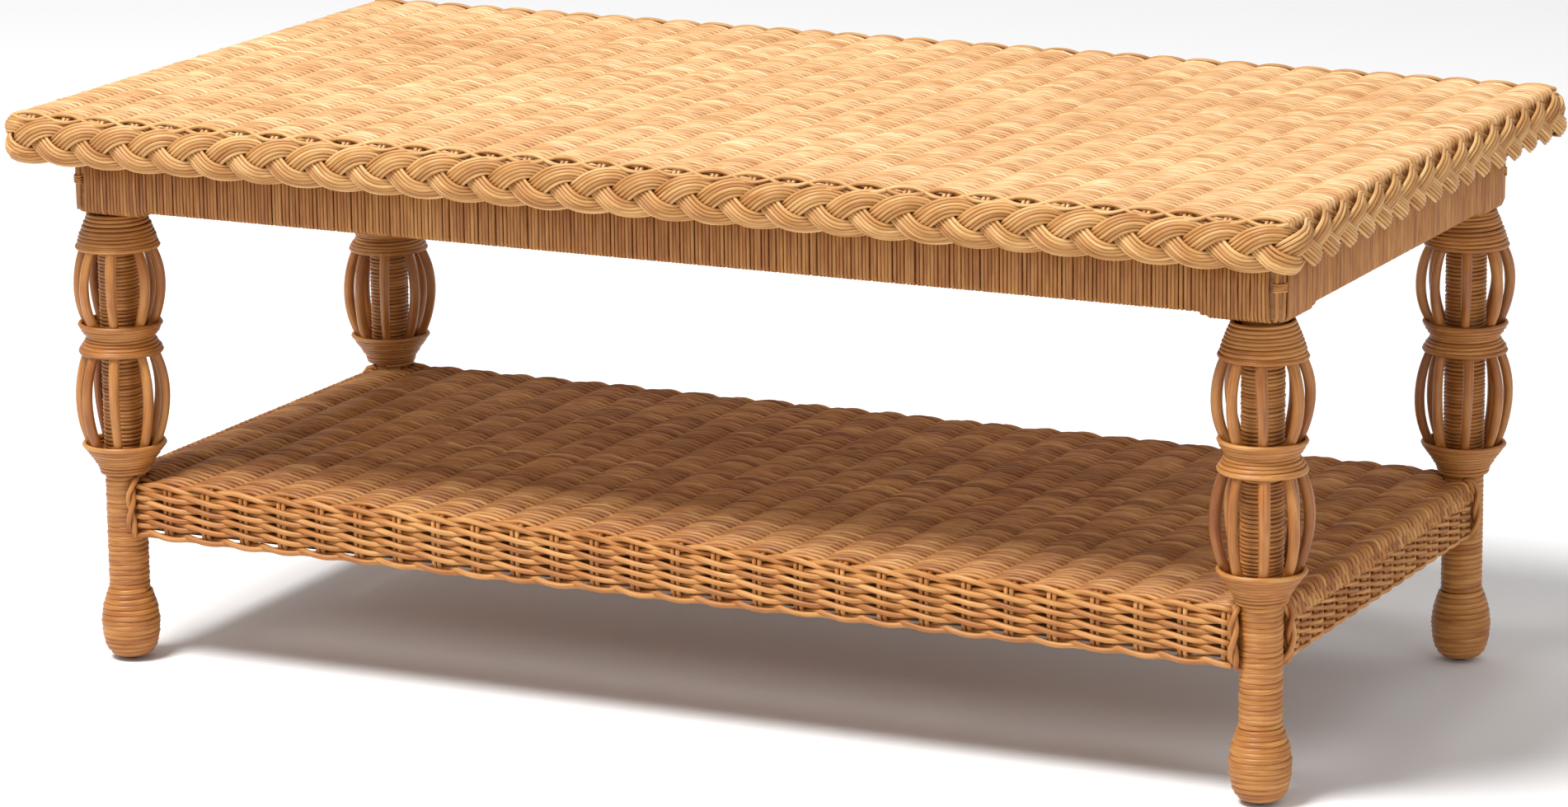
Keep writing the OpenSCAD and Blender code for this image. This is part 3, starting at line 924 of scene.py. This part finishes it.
def shelf_reach(y, height):
    """How far a row at y can go before it meets a leg or the shelf's end."""
    beside = abs(abs(y) - leg_y)
    if beside < leg_clear:
        return leg_x - math.sqrt(leg_clear ** 2 - beside ** 2)
    return shelf_end


def shelf_row(row_y, number, ends_down, reach):
    """One row along X, pushed over and under the stakes, with its ends turned down if they are free."""
    side = 1 if number % 2 else -1
    x = np.arange(-reach, reach, SHELF_STEP / 6)
    x[-1] = reach
    swing = side * wave(x, shelf_stakes[0], SHELF_STEP) * SHELF_WAVE
    swing = swing * (1 + 0.08 * chance.standard_normal(len(x)))
    y = row_y + 0.0002 * chance.standard_normal(len(x))
    z = shelf_middle + swing
    row = np.column_stack([x, y, z])
    if ends_down:
        fall = np.array([[0.0012, -0.0002], [0.0026, -0.0011], [0.0038, -0.0029],
                         [0.0044, -0.0056], [0.0045, -0.0085]])
        right = [[reach + dx, y[-1] + 0.1 * dx, z[-1] + dz] for dx, dz in fall]
        left = [[-reach - dx, y[0] - 0.1 * dx, z[0] + dz] for dx, dz in fall[::-1]]
        row = np.concatenate([left, row, right])
    return row

# %% [markdown]
# The shelf takes 118 rows from front to back. They are laid as two pieces, which keeps each
# mesh small enough to handle.

# %% Lay the shelf's rows
across_rows = np.linspace(-(side_middle - SHELF_ROUND), side_middle - SHELF_ROUND, 118)
shelf_paths = []
shelf_tones = []
for number, y in enumerate(across_rows):
    reach = shelf_reach(y, shelf_middle)
    ends_down = reach == shelf_end
    set_back = 0.0022 * (ends_down and number % 2)
    row = shelf_row(y, number, ends_down, reach - set_back)
    shelf_paths.append(row)
    shelf_tones.append(spliced_tones(row[:, 0], 0.4))
print("shelf rows", round(1000 * (across_rows[1] - across_rows[0]), 2), "mm apart")
for part, label in enumerate(["front", "back"]):
    rows = slice(part * 59, (part + 1) * 59)
    swells = []
    for row in shelf_paths[rows]:
        swells.append(0.9 + 0.14 * np.abs(wave(row[:, 0], shelf_stakes[0], SHELF_STEP)) ** 2)
    piece = lay_reeds("shelf_rows_" + label, shelf_paths[rows], SHELF_REED, tones=shelf_tones[rows],
                      swells=swells)
    dress(piece, shelf_brown, "shelf_reed", "shelf_mat")

# %% [markdown]
# The side is not plain weave but pairing: two reeds are twined together, and at every pair
# of stakes one passes in front and the other behind. So each row shows an arc over every
# pair, and the stakes stand in small dark windows between one row and the next. A twined
# pair is a double spiral that makes half a turn from stake to stake. On the long sides the
# lowest row sags under each pair of stakes, so their lower edge is scalloped. The rows of the
# two ends are finer, and their lower edge is nearly straight.

# %% Twined rows down the shelf's sides
side_drop = shelf_middle - SHELF_ROUND + SHELF_ROUND * math.pi / 2 - side_low_z
END_STEP = 0.0242
end_stakes = (np.arange(16) - 7.5) * END_STEP
end_middle = side_out_x - SHELF_REED / 2 - SHELF_WAVE


def twined_rows(stakes, middle_out, reach, steps, rise, place):
    """Pairs of reeds twined round the stakes, at distances steps down the side's profile."""
    gap = round(stakes[1] - stakes[0], 6)
    paths = []
    for number, s in enumerate(steps):
        out, up, normal_out, normal_up = side_profile(middle_out, s)
        x = np.arange(-reach, reach, gap / 8)
        x[-1] = reach
        last = number == len(steps) - 1
        wander = 0.0003 * np.sin(x * 31 + 2 * number) + 0.0002 * np.sin(x * 73 + number)
        for strand in (0, 1):
            phase = np.pi * ((x - stakes[0]) / gap + strand)
            swing = np.cos(phase) * (1.18 - 0.18 * np.cos(phase) ** 2)
            push = 0.0028 * swing * (1 + 0.05 * chance.standard_normal(len(x)))
            lift = wander - rise * np.sin(phase) * (0.6 if last else 1)
            if last and gap == SHELF_STEP:
                lift = lift - 0.0016 * np.abs(np.cos(phase))
            if last and gap == END_STEP:
                push = 0.6 * push
                lift = 0.4 * lift
            paths.append(np.array([place(a, out + normal_out * p, up + normal_up * p + d)
                                   for a, p, d in zip(x, push, lift)]))
    return paths

# %% [markdown]
# The long sides are twined round the shelf's own stakes. The two ends have stakes of their own,
# closer together, and finer reed. Each side starts and stops just short of the legs.

# %% Twine the four sides
side_reach_x = leg_x - LEG_RADIUS - 0.0012
side_reach_y = leg_y - LEG_RADIUS - 0.0012
long_steps = np.linspace(0.0030, side_drop - 0.0026, 6)
end_steps = np.linspace(0.0122, side_drop - 0.0026, 6)
sides = {"front": (shelf_stakes, side_middle, side_reach_x, long_steps, 0.0019),
         "back": (-shelf_stakes[::-1], side_middle, side_reach_x, long_steps, 0.0019),
         "left": (end_stakes, end_middle, side_reach_y, end_steps, 0.0015),
         "right": (end_stakes, end_middle, side_reach_y, end_steps, 0.0015)}
for side, (stakes, middle_out, reach, steps, rise_by) in sides.items():
    paths = twined_rows(stakes, middle_out, reach, steps, rise_by, facing(side))
    piece = lay_reeds(side + "_shelf_weave", paths, 0.0046 if side in ("front", "back") else 0.0037)
    dress(piece, shelf_brown, "shelf_reed", side + "_shelf_side")
print("side rows", round(1000 * (long_steps[1] - long_steps[0]), 2), "mm apart")

# %% [markdown]
# The stakes go in pairs. Those that run across the shelf turn down at the front and the
# back. At the two ends shorter stakes stand in the woven side, and turn in under the rows
# of the shelf. Under the side all of them are turned in below the rail.

# %% Stakes of the shelf
SHELF_STAKE = 0.0039
bottom_turn = [(0.0, 0.004), (-0.0012, 0.0012), (-0.004, 0.0), (-0.016, 0.0)]
across_stakes = []
for x in shelf_stakes:
    if abs(x) > shelf_end - 0.004:
        continue
    if abs(x) > leg_x - leg_clear - 0.003:
        ends = leg_y - leg_clear - 0.003
        for beside in (-0.0022, 0.0022):
            line = [(x + beside, y, shelf_middle) for y in np.linspace(-ends, ends, 16)]
            across_stakes.append(np.array(line))
        continue
    for beside in (-0.0022, 0.0022):
        half = []
        for s in np.concatenate([np.linspace(-0.19, 0, 6), np.linspace(0.001, side_drop - 0.009, 9)]):
            half.append(side_profile(side_middle, s)[:2])
        half += [(side_middle + dy, side_low_z + 0.0020 + dz) for dy, dz in bottom_turn]
        front = [(x + beside, -out, up) for out, up in half[::-1]]
        back = [(x + beside, out, up) for out, up in half]
        across_stakes.append(np.array(front + back))
piece = lay_reeds("shelf_stakes", across_stakes, SHELF_STAKE)
dress(piece, shelf_brown, "shelf_reed", "shelf_mat")

# %% [markdown]
# The stakes of the two ends start inside, under the rows that turn down over them.

# %% Stakes of the two ends
end_paths = []
for side in ("left", "right"):
    place = facing(side)
    for y in end_stakes:
        for beside in (-0.0022, 0.0022):
            half = [(end_middle - 0.010, shelf_middle - 0.0058), (end_middle - 0.003, shelf_middle - 0.0050)]
            half += [(end_middle - 0.0006, shelf_middle - 0.0062), (end_middle, shelf_middle - 0.010)]
            half += [(end_middle + dx, side_low_z + 0.0020 + dz) for dx, dz in bottom_turn]
            end_paths.append(np.array([place(y + beside, out, up) for out, up in half]))
piece = lay_reeds("shelf_end_stakes", end_paths, SHELF_STAKE)
dress(piece, shelf_brown, "shelf_reed", "left_shelf_side", "right_shelf_side")

# %% [markdown]
# Close against each leg the side is lashed to its rail. Two reeds go over the edge of the
# shelf and down the face, twisted round each other like a cord, then under the rail and up
# behind it.

# %% Lashings
LASH_REED = 0.0045
FROM_AXIS = 0.0148


def lashing(along, face, behind, strand, place):
    """One of the two reeds of a lashing, at a distance along the side."""
    path = [(along, face - 0.0120, shelf_top - 0.0050), (along, face - 0.0075, shelf_top - 0.0008)]
    for u in np.linspace(0, 1, 11):
        twist = math.pi * (strand + 0.2 + 2.2 * u)
        bulge = 0.0012 * math.sin(math.pi * u)
        ease = min(1, 6 * u, 6 * (1 - u))
        out = face + bulge - 0.0040 * (1 - ease) + 0.0020 * math.sin(twist)
        up = shelf_top - 0.0022 - u * (shelf_top - side_low_z - 0.0022)
        path.append((along + 0.0022 * math.cos(twist), out, up))
    path += [(along, face - 0.0070, side_low_z - 0.0004), (along, behind + 0.003, side_low_z + 0.0014),
             (along, behind, side_low_z + 0.006), (along, behind, shelf_top - 0.012)]
    return np.array([place(*point) for point in path])


lash_paths = []
for side in ("front", "back", "left", "right"):
    long_side = side in ("front", "back")
    reach = (leg_x if long_side else leg_y) - FROM_AXIS
    face = side_out_y if long_side else side_out_x
    for end in (-1, 1):
        for strand in (0, 1):
            lash_paths.append(lashing(end * reach, face, face - 0.0278, strand, facing(side)))
piece = lay_reeds("shelf_lashing_reeds", lash_paths, LASH_REED)
dress(piece, shelf_brown, "shelf_reed", "shelf_lashings")
